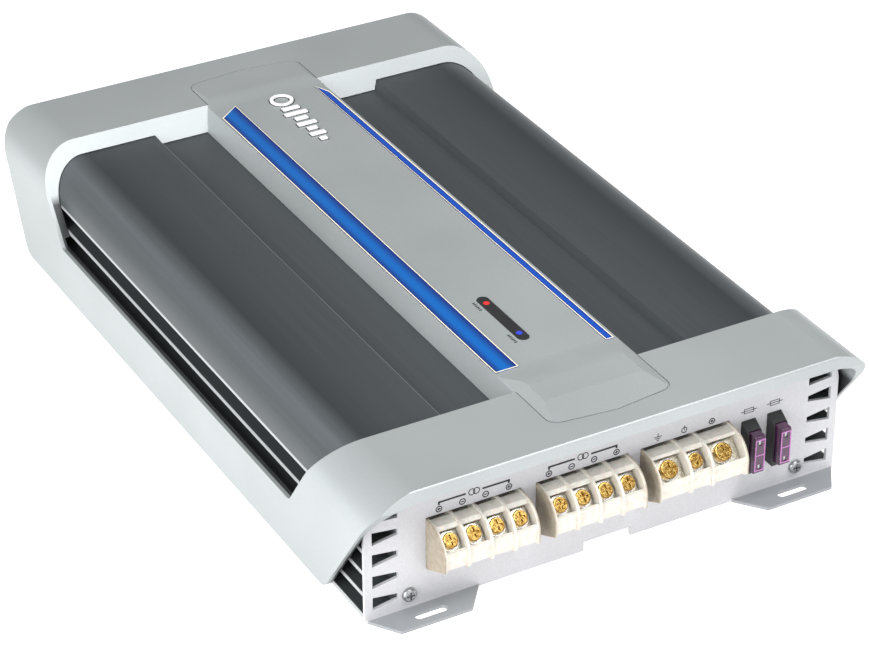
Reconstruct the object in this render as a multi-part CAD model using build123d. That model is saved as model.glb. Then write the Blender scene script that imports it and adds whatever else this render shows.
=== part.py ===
from build123d import *
import math
import os

os.makedirs("parts", exist_ok=True)

# Four-channel car amplifier. Millimetres. +X runs along the terminal panel to the right,
# +Y from the terminal end to the input end, +Z up. The origin is the centre of the four
# mounting slots, on the surface that the feet stand on.

# ---------------------------------------------------------------- driving dimensions
BODY_WIDTH = 238.0            # end plates and fin tips
BODY_LENGTH = 360.6           # outer face of one end plate to outer face of the other
PLATE = 1.5                   # sheet of the end plates and the bottom cover
SLIP = 0.1                    # clearance between pieces that are only laid together
GAP = 0.35                    # clearance round anything that moves

# heatsink extrusion
SINK_LOW = 2.2
SINK_HIGH = 65.0              # top of the outer deck panels
SINK_SHOULDER = 18.0          # radius from the top fin to the deck
FIN_FIRST = 3.2               # middle of the lowest fin
FIN_PITCH = 11.0
FIN_THICK = 2.0
FIN_COUNT = 5
FIN_DEPTH = 15.0
SINK_WALL = 4.0
DECK_THICK = 4.0
DECK_STEP = 4.0               # drop from the outer deck panels to the strip by the spine
DECK_STEP_X = 62.0            # where the outer panels end
DECK_STEP_RUN = 2.5
DUCT_RISE = 10.0              # height of the closed duct under each shoulder
LEDGE_WIDTH = 10.0            # ledge inside each side wall that the cover screws to
LEDGE_LOW = 5.0
LEDGE_HIGH = 13.0

# shroud
SHROUD_OUT = 5.8              # how far each wing stands outside the end plates
SHROUD_LOW = 4.5
SHROUD_RISE = 7.0             # its caps stand this far above the deck panels
SHROUD_SHOULDER = 21.0
SHROUD_WALL = 3.0
SHROUD_TIP = 8.0              # rounding of the wings' lower corners
SHROUD_EDGE = 1.2             # rounding of the caps' upper end edges
CAP_THICK = 6.0
CAP_DEPTH = 45.0              # each cap, along Y, at the top
FRONT_VISOR = 17.0            # overhang of the cap's edge past the end plate
REAR_VISOR = 16.4
VISOR_LIP = 7.0               # upright face under the top edge
FRONT_RAKE = 0.71             # how fast the front edge runs back as it goes down
REAR_RAKE = 0.45
WINDOW_RAKE = 0.71
WINDOW_LOW = 30.5             # upper edge of the side rails
WINDOW_CORNER = 4.0
RIM = 4.0                     # length, along Y, of the rim that closes each cap down to the heatsink
RIM_GAP = 0.4                 # clearance between a rim and the heatsink

# spine, the raised middle of the shroud
SPINE_FOOT_HALF = 34.6        # half width where it meets the deck
SPINE_HALF = 31.0             # half width of its flat top
SPINE_DROP = 0.6              # its top between the caps, below the caps
SPINE_WALL = 3.0
PAD_RISE = 1.6                # its end on the front cap, above the cap
PAD_REAR_RISE = 0.6           # its end on the rear cap
PAD_HALF = 30.2               # half width where a pad meets its cap
PAD_TOP_HALF = 24.5
PAD_FLAT = 31.0               # this and the next four are measured from a cap's outer edge
PAD_RAMP_FRONT = 64.0
PAD_RAMP_REAR = 51.0
PAD_INSET = 12.5
PAD_REAR_INSET = 18.0
PAD_BOW = 3.4
PAD_CORNER = 6.0
SEAM = 0.5                    # width and depth of the fine groove round each pad
BOSS_RADIUS = 3.4
SHROUD_SCREW_X = 20.0
SHROUD_SCREW_END = 70.3       # outer screws, from the end plates' faces

# accent strips, indicator window and badge on the spine
INLAY_PROUD = 0.3
INLAY_DEEP = 0.9
WIDE_STRIP = (-30.2, -18.8)   # its two long edges, in X
NARROW_STRIP = (25.6, 29.6)
STRIP_FRONT = 45.5            # from the front plate's face
STRIP_REAR = 325.0
STRIP_CUT = 9.0               # length of the slanted rear ends
LENS_X = -4.6
LENS_Y = 83.5                 # from the front plate's face
LENS_LENGTH = 41.0
LENS_WIDTH = 5.6
LED_OFFSET = 14.5
LED_RADIUS = 1.5
BADGE_X = 4.0
BADGE_REAR = 325.0            # from the front plate's face
BADGE_RING = 6.0
BADGE_BARS = (9.0, 12.0, 6.5, 10.0, 5.0, 8.0, 3.5)
BADGE_PITCH = 6.0

# feet and mounting slots
FOOT_EDGE = 0.5               # from the plate's side edge
FOOT_WIDTH = 54.5
FOOT_INNER_TAPER = 11.0
FOOT_OUTER_TAPER = 9.5
FOOT_REACH = 14.0
SLOT_EDGE = 27.2              # slot centre, from the plate's side edge
SLOT_LENGTH = 15.4
SLOT_RADIUS = 2.15
SLOT_OUT = 8.0                # slot centre in front of the plate's face

# end plate details
VENT_EDGE = 3.8               # from the plate's side edge
VENT_LONG = 12.2
VENT_TALL = 6.4
VENT_SHORT = 2.8
PLATE_SCREW_LOW = (21.0, 8.0) # from the side edge, and height
PLATE_SCREW_HIGH = (35.0, 4.0)  # from the side edge, and below the deck panels' top
NOTCH_HALF = 12.0
NOTCH_HIGH = 4.8

# machine screws used all over the case
SCREW_RADIUS = 1.5
SCREW_LENGTH = 7.0
SCREW_HEAD_RADIUS = 3.3
SCREW_HEAD = 2.0
SCREW_FIT = 0.05
COVER_SCREW_END = 40.3        # outer screws, from the end plates' faces
COVER_SCREW_COUNT = 4
BOARD_SCREW_EDGE = 11.5       # from the board's side edge
BOARD_SCREW_END = 20.3        # outer screws, from the end plates' faces
STANDOFF_RADIUS = 3.2

# terminals; reach is in front of the front plate's face
TERM_TILT = 45.0              # screw axes look up and out at this angle
TERM_LOW = 19.2
TERM_HIGH = 42.3
TERM_TOP_REACH = 6.0
TERM_REACH = 15.4
TERM_SILL = (26.0, 34.0)      # height of the upright front face
TERM_INSIDE = 12.0            # depth behind the plate's face
TERM_WALL = 1.2
TERM_PROUD = 0.9              # end walls and dividers beyond the body
TERM_STEP = 3.0               # drop of the body's top behind the panel
TERM_HEAD_AT = (-10.1, 36.8)  # middle of a screw head's face: reach and height
TERM_HEAD = 2.0
SPEAKER_BLOCKS = (-66.6, -13.4)
SPEAKER_CELL_COUNT = 4
POWER_BLOCK = 38.6
POWER_CELL_ROOM = (2.35, 0.55, 3.1)  # beside the washers of the three power cells
SMALL_HEAD = 3.5
BIG_HEAD = 4.2
SPEAKER_CELL_ROOM = 0.65      # beside the washers of the speaker cells
WASHER = 1.0
WASHER_EXTRA = 0.85           # radius beyond the head
CONTACT = 1.0
CONTACT_LEG = 5.0
CONTACT_LEG_AT = 13.4         # the leg's near face, behind the plate's face
TERM_THREAD = 1.75
TERM_THREAD_LENGTH = 5.0
TERM_FIT = 0.05

# blade fuses and their holders
FUSE_X = (71.5, 85.1)
FUSE_BODY = (5.1, 12.0, 19.1)
FUSE_REACH = 10.0
FUSE_HIGH = 28.2              # middle height
FUSE_BLADE = (0.65, 7.5, 5.0)
FUSE_BLADE_OFFSET = 6.3
HOLDER_WIDTH = 7.2
HOLDER_LOW = 16.4
HOLDER_HIGH = 41.0
HOLDER_REACH = 5.6
HOLDER_SLOPE = 3.5
HOLDER_INSIDE = 14.0
CLIP = (2.4, 8.4, 6.6)

# board and what stands on it
BOARD_THICK = 1.6
BOARD_LOW = 9.0
BOARD_END_GAP = 4.0
TOROIDS = ((-34.0, 96.3), (34.0, 96.3))  # X, and distance behind the front plate's face
TOROID_RADIUS = 27.0
TOROID_HOLE = 10.0
TOROID_TALL = 24.0
CANS = ((-45.0, 156.3), (-15.0, 156.3), (15.0, 156.3), (45.0, 156.3), (34.0, 50.3), (60.0, 50.3))
CAN_RADIUS = 11.0
CAN_TALL = 36.0
COILS = ((-78.0, 38.3), (-54.0, 38.3), (-30.0, 38.3), (-6.0, 38.3))
COIL_RADIUS = 9.0
COIL_HOLE = 3.5
COIL_TALL = 16.0
RING_ROUND = 0.35             # edge rounding of a wound ring, of its smaller thickness
DEVICE = (4.6, 15.6, 20.0)    # power transistor body: thick, wide, tall
DEVICE_LOW = 17.0
DEVICE_COUNT = 8
DEVICE_PITCH = 32.0
DEVICE_LEG = 0.8
DEVICE_LEG_IN = 14.0          # legs' lower ends, from the side wall
PAD_SHEET = 0.3
BAR = (3.0, 9.0)              # clamp bar: thick, tall
BAR_MID = 31.0
BAR_SCREW_LENGTH = 11.0

# input end
JACK_X = (-84.0, -66.0)
JACK_HIGH = (22.0, 40.0)
JACK_RADIUS = 4.15
JACK_HOLE = 1.7
JACK_REACH = 9.5
JACK_STEP = 0.25              # the sleeve is this much thinner through the panel
SOCKET_BLOCK = (36.0, 12.0, 35.0)
KNOB_X = (-32.0, -12.0, 34.0, 54.0)
KNOB_HIGH = 34.0
KNOB_RADIUS = 4.5
KNOB_LONG = 8.0
KNOB_SHAFT = 1.5
KNOB_FIT = 0.05
POT_BODY = (11.0, 10.0, 12.0)
POT_BUSH = 3.5
SWITCH_X = (11.0, 77.0)
SWITCH_HIGH = 34.0
SWITCH_BODY = (17.0, 7.0, 8.0)
SLIDER = (3.0, 4.0, 3.4)
SWITCH_TRAVEL = 5.0

# ---------------------------------------------------------------- places worked out from those
FRONT = -BODY_LENGTH / 2
REAR = BODY_LENGTH / 2
HALF = BODY_WIDTH / 2
SINK_FRONT = FRONT + PLATE + SLIP
SINK_REAR = REAR - PLATE - SLIP
INNER_HALF = HALF - FIN_DEPTH - SINK_WALL
DECK_LOW = SINK_HIGH - DECK_STEP
DECK_UNDER = DECK_LOW - DECK_THICK
SHROUD_HALF = HALF + SHROUD_OUT
SHROUD_HIGH = SINK_HIGH + SHROUD_RISE
SPINE_HIGH = SHROUD_HIGH - SPINE_DROP
PAD_HIGH = SHROUD_HIGH + PAD_RISE
PAD_REAR_HIGH = SHROUD_HIGH + PAD_REAR_RISE
TOP_FRONT = FRONT - FRONT_VISOR
TOP_REAR = REAR + REAR_VISOR
COVER_HIGH = LEDGE_LOW - SLIP
COVER_LOW = COVER_HIGH - PLATE
BOARD_HIGH = BOARD_LOW + BOARD_THICK
BOARD_HALF = INNER_HALF - LEDGE_WIDTH - 0.5
DEVICE_LEG_X = INNER_HALF - DEVICE_LEG_IN
JACK_NECK = JACK_RADIUS - JACK_STEP


def cell(head, room):
    """A terminal cell's width, with room on both sides of its washer, and its screw's head radius."""
    return 2 * (head + WASHER_EXTRA + room) + TERM_WALL, head


SPEAKER_CELLS = [cell(SMALL_HEAD, SPEAKER_CELL_ROOM)] * SPEAKER_CELL_COUNT
POWER_CELLS = [cell(*pair) for pair in zip((BIG_HEAD, SMALL_HEAD, BIG_HEAD), POWER_CELL_ROOM)]
DEVICE_FACE = INNER_HALF - PAD_SHEET - DEVICE[0]
BAR_FACE = DEVICE_FACE - BAR[0]
TILT = math.radians(TERM_TILT)
TERM_OUT = Vector(0, -math.cos(TILT), math.sin(TILT))
TERM_DOWN = Vector(0, -math.sin(TILT), -math.cos(TILT))
TERM_FACE = Vector(0, FRONT + TERM_HEAD_AT[0], TERM_HEAD_AT[1])
TERM_SEAT = TERM_FACE - TERM_OUT * (TERM_HEAD + WASHER)


# ---------------------------------------------------------------- shape helpers
def box(x0, x1, y0, y1, z0, z1):
    """A box between two corners."""
    return Pos((x0 + x1) / 2, (y0 + y1) / 2, (z0 + z1) / 2) * Box(x1 - x0, y1 - y0, z1 - z0)


def along_x(points, x0, x1):
    """An outline of (y, z) points, extruded from x0 to x1."""
    outline = Polyline(*[(x0, y, z) for y, z in points], close=True)
    return extrude(make_face(outline), amount=x1 - x0, dir=(1, 0, 0))


def along_y(points, y0, y1):
    """An outline of (x, z) points, extruded from y0 to y1."""
    outline = Polyline(*[(x, y0, z) for x, z in points], close=True)
    return extrude(make_face(outline), amount=y1 - y0, dir=(0, 1, 0))


def along_z(points, z0, z1):
    """An outline of (x, y) points, extruded from z0 to z1."""
    outline = Polyline(*[(x, y, z0) for x, y in points], close=True)
    return extrude(make_face(outline), amount=z1 - z0, dir=(0, 0, 1))


def arch(half, y0, y1, z0, z1, shoulder):
    """A long block whose two upper edges are rounded."""
    block = box(-half, half, y0, y1, z0, z1)
    return fillet(block.edges().filter_by(Axis.Y).group_by(Axis.Z)[-1], shoulder)


def rod(radius, start, direction, length):
    """A cylinder from a start point along a direction."""
    place = Plane(origin=start, z_dir=direction)
    return place * Pos(0, 0, length / 2) * Cylinder(radius, length)


def both_sides(shape):
    """A shape and its mirror image across the middle plane."""
    return shape + mirror(shape, about=Plane.YZ)


def group(shapes):
    """Separate solids of one kind that share a node."""
    return Compound(children=list(shapes))


def machine_screw(point, outward, length=SCREW_LENGTH):
    """Pan head screw with a cross recess; point is the middle of the head's seat."""
    head = Pos(0, 0, SCREW_HEAD / 2) * Cylinder(SCREW_HEAD_RADIUS, SCREW_HEAD)
    head = fillet(head.edges().group_by(Axis.Z)[-1], SCREW_HEAD * 0.6)
    shank = Pos(0, 0, -length / 2) * Cylinder(SCREW_RADIUS, length)
    recess = Pos(0, 0, SCREW_HEAD) * Box(SCREW_HEAD_RADIUS * 1.2, 0.7, SCREW_HEAD)
    place = Plane(origin=point, z_dir=outward)
    return place * (head + shank - recess - Rot(0, 0, 90) * recess)


def cut_screws(body, places, length=SCREW_LENGTH):
    """Drill each screw's hole, from its seat inwards and clear above the seat."""
    for point, outward in places:
        start = Vector(*point) + Vector(*outward) * 2
        body -= rod(SCREW_RADIUS + SCREW_FIT, start, Vector(*outward) * -1, length + 2.5)
    return body


def spread(end, count):
    """Evenly spaced places in Y, the outer two this far from the end plates' faces."""
    first, last = FRONT + end, REAR - end
    return [first + (last - first) * index / (count - 1) for index in range(count)]


# ---------------------------------------------------------------- screw places: (seat, outward)
def plate_screws():
    """Four screws in each end plate."""
    low = (HALF - PLATE_SCREW_LOW[0], PLATE_SCREW_LOW[1])
    high = (HALF - PLATE_SCREW_HIGH[0], SINK_HIGH - PLATE_SCREW_HIGH[1])
    places = []
    for y, way in ((FRONT, -1), (REAR, 1)):
        for side in (-1, 1):
            for x, z in (low, high):
                places.append(((side * x, y, z), (0, way, 0)))
    return places


def cover_screws():
    """Screws up through the bottom cover into the ledges."""
    x = INNER_HALF - LEDGE_WIDTH / 2
    return [((side * x, y, COVER_LOW), (0, 0, -1))
            for side in (-1, 1) for y in spread(COVER_SCREW_END, COVER_SCREW_COUNT)]


def board_screws():
    """Screws down through the board into the cover's standoffs."""
    x = BOARD_HALF - BOARD_SCREW_EDGE
    return [((side * x, y, BOARD_HIGH), (0, 0, 1))
            for side in (-1, 1) for y in spread(BOARD_SCREW_END, 3)]


def bar_screws():
    """Longer screws that pull the clamp bars towards the side walls."""
    middles = [(i - 1.5) * 2 * DEVICE_PITCH for i in range(4)]
    return [((side * BAR_FACE, y, BAR_MID), (-side, 0, 0)) for side in (-1, 1) for y in middles]


def shroud_screws():
    """Screws up through the deck into the shroud's bosses."""
    return [((side * SHROUD_SCREW_X, y, DECK_UNDER), (0, 0, -1))
            for side in (-1, 1) for y in spread(SHROUD_SCREW_END, 3)]


def case_screws():
    """All machine screws of the case."""
    short = plate_screws() + cover_screws() + board_screws() + shroud_screws()
    shapes = [machine_screw(*place) for place in short]
    shapes += [machine_screw(*place, BAR_SCREW_LENGTH) for place in bar_screws()]
    return group(shapes)


# ---------------------------------------------------------------- heatsink and covers
def fin_heights():
    """Middle height of every side fin, lowest first."""
    return [FIN_FIRST + i * FIN_PITCH for i in range(FIN_COUNT)]


def heatsink():
    """Extruded case: finned sides, stepped deck, ledges for the cover."""
    body = arch(HALF, SINK_FRONT, SINK_REAR, SINK_LOW, SINK_HIGH, SINK_SHOULDER)
    body -= box(-INNER_HALF, INNER_HALF, SINK_FRONT, SINK_REAR, 0, DECK_UNDER)
    inner = DECK_STEP_X - DECK_STEP_RUN
    trough = [(-DECK_STEP_X, SINK_HIGH), (-inner, DECK_LOW), (inner, DECK_LOW),
              (DECK_STEP_X, SINK_HIGH)]
    body -= along_y(trough, SINK_FRONT, SINK_REAR)
    fins = fin_heights()
    root = HALF - FIN_DEPTH
    for lower, upper in zip(fins, fins[1:]):
        channel = box(root, HALF + 1, SINK_FRONT, SINK_REAR,
                      lower + FIN_THICK / 2, upper - FIN_THICK / 2)
        body -= both_sides(channel)
    floor = fins[-1] + FIN_THICK / 2
    duct = [(root, floor), (HALF - 4, floor), (HALF - 7, floor + DUCT_RISE * 0.6),
            (root, floor + DUCT_RISE)]
    body -= both_sides(along_y(duct, SINK_FRONT, SINK_REAR))
    ledge = box(INNER_HALF - LEDGE_WIDTH, INNER_HALF, SINK_FRONT, SINK_REAR, LEDGE_LOW, LEDGE_HIGH)
    body += both_sides(ledge)
    body = cut_screws(body, plate_screws() + cover_screws() + shroud_screws())
    return cut_screws(body, bar_screws(), BAR_SCREW_LENGTH)


def bottom_cover():
    """Sheet cover between the side walls, with pressed standoffs for the board."""
    edge = INNER_HALF - 3 * SLIP
    sheet = box(-edge, edge, SINK_FRONT, SINK_REAR, COVER_LOW, COVER_HIGH)
    for (x, y, _), _ in board_screws():
        sheet += Pos(x, y, (COVER_HIGH + BOARD_LOW) / 2) * Cylinder(STANDOFF_RADIUS, BOARD_LOW - COVER_HIGH)
    return cut_screws(sheet, cover_screws() + board_screws())


def vents():
    """Five wedge-shaped cooling vents beside one edge of an end plate."""
    shapes = []
    middles = [height + FIN_PITCH / 2 for height in fin_heights()]
    for index, middle in enumerate(middles):
        outer, inner = VENT_TALL / 2, VENT_SHORT / 2
        if index == FIN_COUNT - 1:
            outer, inner = inner, VENT_TALL * 0.4
            middle -= 1.5
        x0, x1 = HALF - VENT_EDGE - VENT_LONG, HALF - VENT_EDGE
        wedge = [(x1, middle - outer), (x1, middle + outer),
                 (x0, middle + inner + 0.2), (x0, middle - inner + 0.2)]
        shapes.append(along_y(wedge, FRONT - 1, FRONT + PLATE + 1))
    return shapes


def foot():
    """A folded mounting foot with its slot, at the right of the front plate."""
    outer = HALF - FOOT_EDGE
    inner, tip = outer - FOOT_WIDTH, FRONT - FOOT_REACH
    flange = along_z([(inner, FRONT + PLATE), (inner, FRONT), (inner + FOOT_INNER_TAPER, tip),
                      (outer - FOOT_OUTER_TAPER, tip), (outer, FRONT), (outer, FRONT + PLATE)], 0, PLATE)
    place = Pos(HALF - SLOT_EDGE, FRONT - SLOT_OUT, PLATE / 2)
    slot = place * extrude(SlotOverall(SLOT_LENGTH, 2 * SLOT_RADIUS), amount=PLATE, both=True)
    return flange - slot


def end_plate_blank():
    """What both end plates share, in the front plate's place."""
    sheet = arch(HALF, FRONT, FRONT + PLATE, 0, SINK_HIGH, SINK_SHOULDER)
    sheet -= box(-NOTCH_HALF, NOTCH_HALF, FRONT - 1, FRONT + PLATE + 1, -1, NOTCH_HIGH)
    for vent in vents():
        sheet -= both_sides(vent)
    sheet += both_sides(foot())
    return sheet


def front_end_plate():
    """Terminal panel: openings for three terminal blocks and two fuse holders."""
    sheet = end_plate_blank()
    low, high = TERM_LOW - TERM_PROUD - 3 * SLIP, TERM_HIGH + TERM_PROUD + 8 * SLIP
    for middle, cells in terminal_blocks():
        reach = total(cells) / 2 + TERM_WALL / 2 + SLIP
        sheet -= box(middle - reach, middle + reach, FRONT - 1, FRONT + PLATE + 1, low, high)
    for x in FUSE_X:
        reach = HOLDER_WIDTH / 2 + SLIP
        sheet -= box(x - reach, x + reach, FRONT - 1, FRONT + PLATE + 1,
                     HOLDER_LOW - SLIP, HOLDER_HIGH + SLIP)
    return cut_screws(sheet, plate_screws()[:4])


def rear_end_plate():
    """Input panel: holes for the input sockets, control shafts and slide switches."""
    sheet = mirror(end_plate_blank(), about=Plane.XZ)
    for x in JACK_X:
        for z in JACK_HIGH:
            sheet -= rod(JACK_NECK + SLIP, (x, REAR - PLATE - 1, z), (0, 1, 0), PLATE + 2)
    for x in KNOB_X:
        sheet -= rod(POT_BUSH + SLIP, (x, REAR - PLATE - 1, KNOB_HIGH), (0, 1, 0), PLATE + 2)
    for x in SWITCH_X:
        reach = (SWITCH_TRAVEL + SLIDER[0]) / 2 + GAP
        tall = SLIDER[2] / 2 + GAP
        sheet -= box(x - reach, x + reach, REAR - PLATE - 1, REAR + 1, SWITCH_HIGH - tall, SWITCH_HIGH + tall)
    return cut_screws(sheet, plate_screws()[4:])


# ---------------------------------------------------------------- shroud
def shroud_silhouette():
    """Side view of the shroud: visor lips at the top, raked edges, rounded lower corners."""
    lip = SHROUD_HIGH - VISOR_LIP
    drop = lip - SHROUD_LOW
    outline = [(TOP_FRONT, SHROUD_HIGH), (TOP_FRONT, lip), (TOP_FRONT + FRONT_RAKE * drop, SHROUD_LOW),
               (TOP_REAR - REAR_RAKE * drop, SHROUD_LOW), (TOP_REAR, lip), (TOP_REAR, SHROUD_HIGH)]
    block = along_x(outline, -SHROUD_HALF - 1, SHROUD_HALF + 1)
    block = fillet(block.edges().filter_by(Axis.X).group_by(Axis.Z)[0], SHROUD_TIP)
    return fillet(block.edges().filter_by(Axis.X).group_by(Axis.Z)[-1], SHROUD_EDGE)


def shroud_window():
    """Cutter that opens the top and both sides between the caps, down to the side rails."""
    above = 4.0
    run = WINDOW_RAKE * (SHROUD_HIGH - WINDOW_LOW)
    over = WINDOW_RAKE * above
    near, far = TOP_FRONT + CAP_DEPTH, TOP_REAR - CAP_DEPTH
    outline = [(near - over, SHROUD_HIGH + above), (near + run, WINDOW_LOW),
               (far - run, WINDOW_LOW), (far + over, SHROUD_HIGH + above)]
    block = along_x(outline, -SHROUD_HALF - 2, SHROUD_HALF + 2)
    return fillet(block.edges().filter_by(Axis.X).group_by(Axis.Z)[0], WINDOW_CORNER)


def pad_plan(margin):
    """Outline of both pads, from above, with bowed outer ends and rounded corners."""
    half = PAD_HALF + margin
    front, rear = TOP_FRONT + PAD_INSET - margin, TOP_REAR - PAD_REAR_INSET + margin
    outline = FilletPolyline((-half, front + PAD_BOW), (0, front), (half, front + PAD_BOW),
                             (half, rear - PAD_BOW), (0, rear), (-half, rear - PAD_BOW),
                             radius=PAD_CORNER, close=True)
    return make_face(outline)


def spine_side():
    """Side view of the spine: low between the caps, easing up to a bevelled pad on each."""
    low, cap_low = DECK_LOW + SLIP, SHROUD_HIGH - CAP_THICK + 1
    near, far = FRONT + 20, REAR - 20
    front, rear = TOP_FRONT + PAD_INSET, TOP_REAR - PAD_REAR_INSET
    rise_end, rise_start = TOP_FRONT + CAP_DEPTH, TOP_FRONT + PAD_RAMP_FRONT
    fall_start, fall_end = TOP_REAR - PAD_RAMP_REAR, TOP_REAR - CAP_DEPTH + 6
    x = -SPINE_FOOT_HALF
    level = ((0, 1, 0), (0, 1, 0))
    edges = [
        Polyline((x, rise_end, PAD_HIGH), (x, TOP_FRONT + PAD_FLAT, PAD_HIGH), (x, front, SHROUD_HIGH),
                 (x, front, cap_low), (x, near, cap_low), (x, near, low), (x, far, low), (x, far, cap_low),
                 (x, rear, cap_low), (x, rear, SHROUD_HIGH), (x, fall_end, PAD_REAR_HIGH)),
        Spline((x, fall_start, SPINE_HIGH), (x, fall_end, PAD_REAR_HIGH), tangents=level),
        Line((x, rise_start, SPINE_HIGH), (x, fall_start, SPINE_HIGH)),
        Spline((x, rise_end, PAD_HIGH), (x, rise_start, SPINE_HIGH), tangents=level),
    ]
    return make_face(edges)


def sink_room(gap):
    """The heatsink's outer outline grown by a gap, for what closes down on it."""
    inner = DECK_STEP_X - DECK_STEP_RUN
    trough = [(-DECK_STEP_X, SINK_HIGH + gap), (-inner, DECK_LOW + gap), (inner, DECK_LOW + gap),
              (DECK_STEP_X, SINK_HIGH + gap)]
    room = arch(HALF + gap, TOP_FRONT, TOP_REAR, 0, SINK_HIGH + gap, SINK_SHOULDER + gap)
    return room - along_y(trough, TOP_FRONT, TOP_REAR)


def cap_rims():
    """Rims along both window edges that close the caps and wings down to the heatsink."""
    near, far = TOP_FRONT + CAP_DEPTH, TOP_REAR - CAP_DEPTH
    low = WINDOW_LOW + WINDOW_CORNER
    run = WINDOW_RAKE * (SHROUD_HIGH - low)
    skin = arch(SHROUD_HALF - SHROUD_WALL / 2, TOP_FRONT, TOP_REAR, 0, SHROUD_HIGH - CAP_THICK / 2,
                SHROUD_SHOULDER - SHROUD_WALL / 2) - sink_room(RIM_GAP)
    front = along_x([(near - RIM, SHROUD_HIGH), (near, SHROUD_HIGH), (near + run, low),
                     (near + run - RIM, low)], -SHROUD_HALF, SHROUD_HALF)
    rear = along_x([(far + RIM, SHROUD_HIGH), (far, SHROUD_HIGH), (far - run, low),
                    (far - run + RIM, low)], -SHROUD_HALF, SHROUD_HALF)
    return skin & (front + rear)


def spine():
    """Raised middle of the shroud, hollow underneath, with bosses for its screws."""
    low = DECK_LOW + SLIP
    front_edge, rear_edge = TOP_FRONT + CAP_DEPTH, TOP_REAR - CAP_DEPTH
    across = [(-SPINE_FOOT_HALF, low), (-SPINE_HALF, SPINE_HIGH), (-PAD_HALF, SHROUD_HIGH),
              (-PAD_TOP_HALF, PAD_HIGH), (PAD_TOP_HALF, PAD_HIGH), (PAD_HALF, SHROUD_HIGH),
              (SPINE_HALF, SPINE_HIGH), (SPINE_FOOT_HALF, low)]
    body = extrude(spine_side(), amount=2 * SPINE_FOOT_HALF, dir=(1, 0, 0))
    body &= along_y(across, TOP_FRONT, TOP_REAR)
    plan = extrude(Pos(0, 0, low) * pad_plan(0), amount=PAD_HIGH)
    plan += box(-SPINE_FOOT_HALF, SPINE_FOOT_HALF, front_edge, rear_edge, low, PAD_HIGH)
    body &= plan
    slope = (SPINE_FOOT_HALF - SPINE_HALF) / (SPINE_HIGH - low)
    roof = SPINE_HIGH - SPINE_WALL
    low_half = SPINE_FOOT_HALF - SPINE_WALL
    high_half = low_half - slope * (roof - low)
    hollow = [(-low_half, low - 1), (-high_half, roof), (high_half, roof), (low_half, low - 1)]
    body -= along_y(hollow, FRONT + 19, REAR - 19)
    for (x, y, _), _ in shroud_screws():
        body += rod(BOSS_RADIUS, (x, y, low), (0, 0, 1), roof - low + 0.5)
    return body


def shroud():
    """One piece: two caps, two wings joined by side rails, and the spine."""
    body = arch(SHROUD_HALF, TOP_FRONT, TOP_REAR, 0, SHROUD_HIGH, SHROUD_SHOULDER) & shroud_silhouette()
    body -= arch(SHROUD_HALF - SHROUD_WALL, TOP_FRONT - 1, TOP_REAR + 1, SHROUD_LOW - 1,
                 SHROUD_HIGH - CAP_THICK, SHROUD_SHOULDER - SHROUD_WALL)
    body -= shroud_window()
    body += cap_rims()
    groove = extrude(pad_plan(SEAM) - pad_plan(0), amount=SEAM + 2)
    body -= Pos(0, 0, SHROUD_HIGH - SEAM) * groove
    body += spine()
    for edges in (WIDE_STRIP, NARROW_STRIP):
        seat = offset(strip_plan(edges), SLIP, kind=Kind.INTERSECTION)
        body -= Pos(0, 0, SPINE_HIGH - INLAY_DEEP - SLIP) * extrude(seat, amount=INLAY_DEEP + 2)
    body -= lens_blank(SLIP, INLAY_DEEP + SLIP, 2)
    for led in led_blanks(SLIP):
        body -= led
    return cut_screws(body, shroud_screws())


def strip_plan(edges):
    """Plan of an accent strip: square at the front, its rear end slanted back towards the spine's middle."""
    outer, inner = sorted(edges, key=abs, reverse=True)
    front, rear = FRONT + STRIP_FRONT, FRONT + STRIP_REAR
    outline = Polyline((outer, front), (inner, front), (inner, rear), (outer, rear - STRIP_CUT), close=True)
    return make_face(outline)


def accent_strip(edges):
    """Coloured inlay, let into the spine."""
    return Pos(0, 0, SPINE_HIGH - INLAY_DEEP) * extrude(strip_plan(edges), amount=INLAY_DEEP + INLAY_PROUD)


def lens_blank(margin, deep, proud):
    """Round-ended bar in the indicator window's place."""
    plan = Pos(LENS_X, FRONT + LENS_Y) * Rot(0, 0, 90) * SlotOverall(LENS_LENGTH + 2 * margin,
                                                                  LENS_WIDTH + 2 * margin)
    return Pos(0, 0, SPINE_HIGH - deep) * extrude(plan, amount=deep + proud)


def led_blanks(margin):
    """The two indicator lamps, standing in the window."""
    return [rod(LED_RADIUS + margin, (LENS_X, FRONT + LENS_Y + way * LED_OFFSET, SPINE_HIGH - SPINE_WALL + 0.6),
                (0, 0, 1), SPINE_WALL - 0.6 + INLAY_PROUD) for way in (1, -1)]


def indicator_lens():
    """Dark window with a hole for each lamp."""
    lens = lens_blank(0, INLAY_DEEP, INLAY_PROUD)
    for led in led_blanks(SLIP):
        lens -= led
    return lens


def badge():
    """Plain emblem: a ring and a row of bars like a level meter, set across the spine."""
    low, high = SPINE_HIGH, SPINE_HIGH + 0.8
    ring_y = FRONT + BADGE_REAR - BADGE_RING
    ring = Pos(BADGE_X, ring_y, (low + high) / 2) * (Cylinder(BADGE_RING, high - low)
                                                   - Cylinder(BADGE_RING - 1.8, high - low))
    shapes = [ring]
    for index, tall in enumerate(BADGE_BARS):
        y = ring_y - BADGE_RING - 4 - index * BADGE_PITCH
        shapes.append(box(BADGE_X - tall / 2, BADGE_X + tall / 2, y - 1.4, y + 1.4, low, high))
    return group(shapes)


# ---------------------------------------------------------------- terminals
def terminal_blocks():
    """(middle, cells) of the three blocks, left to right."""
    return [(SPEAKER_BLOCKS[0], SPEAKER_CELLS), (SPEAKER_BLOCKS[1], SPEAKER_CELLS),
            (POWER_BLOCK, POWER_CELLS)]


def total(cells):
    """Width of a row of cells."""
    return sum(width for width, _ in cells)


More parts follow.
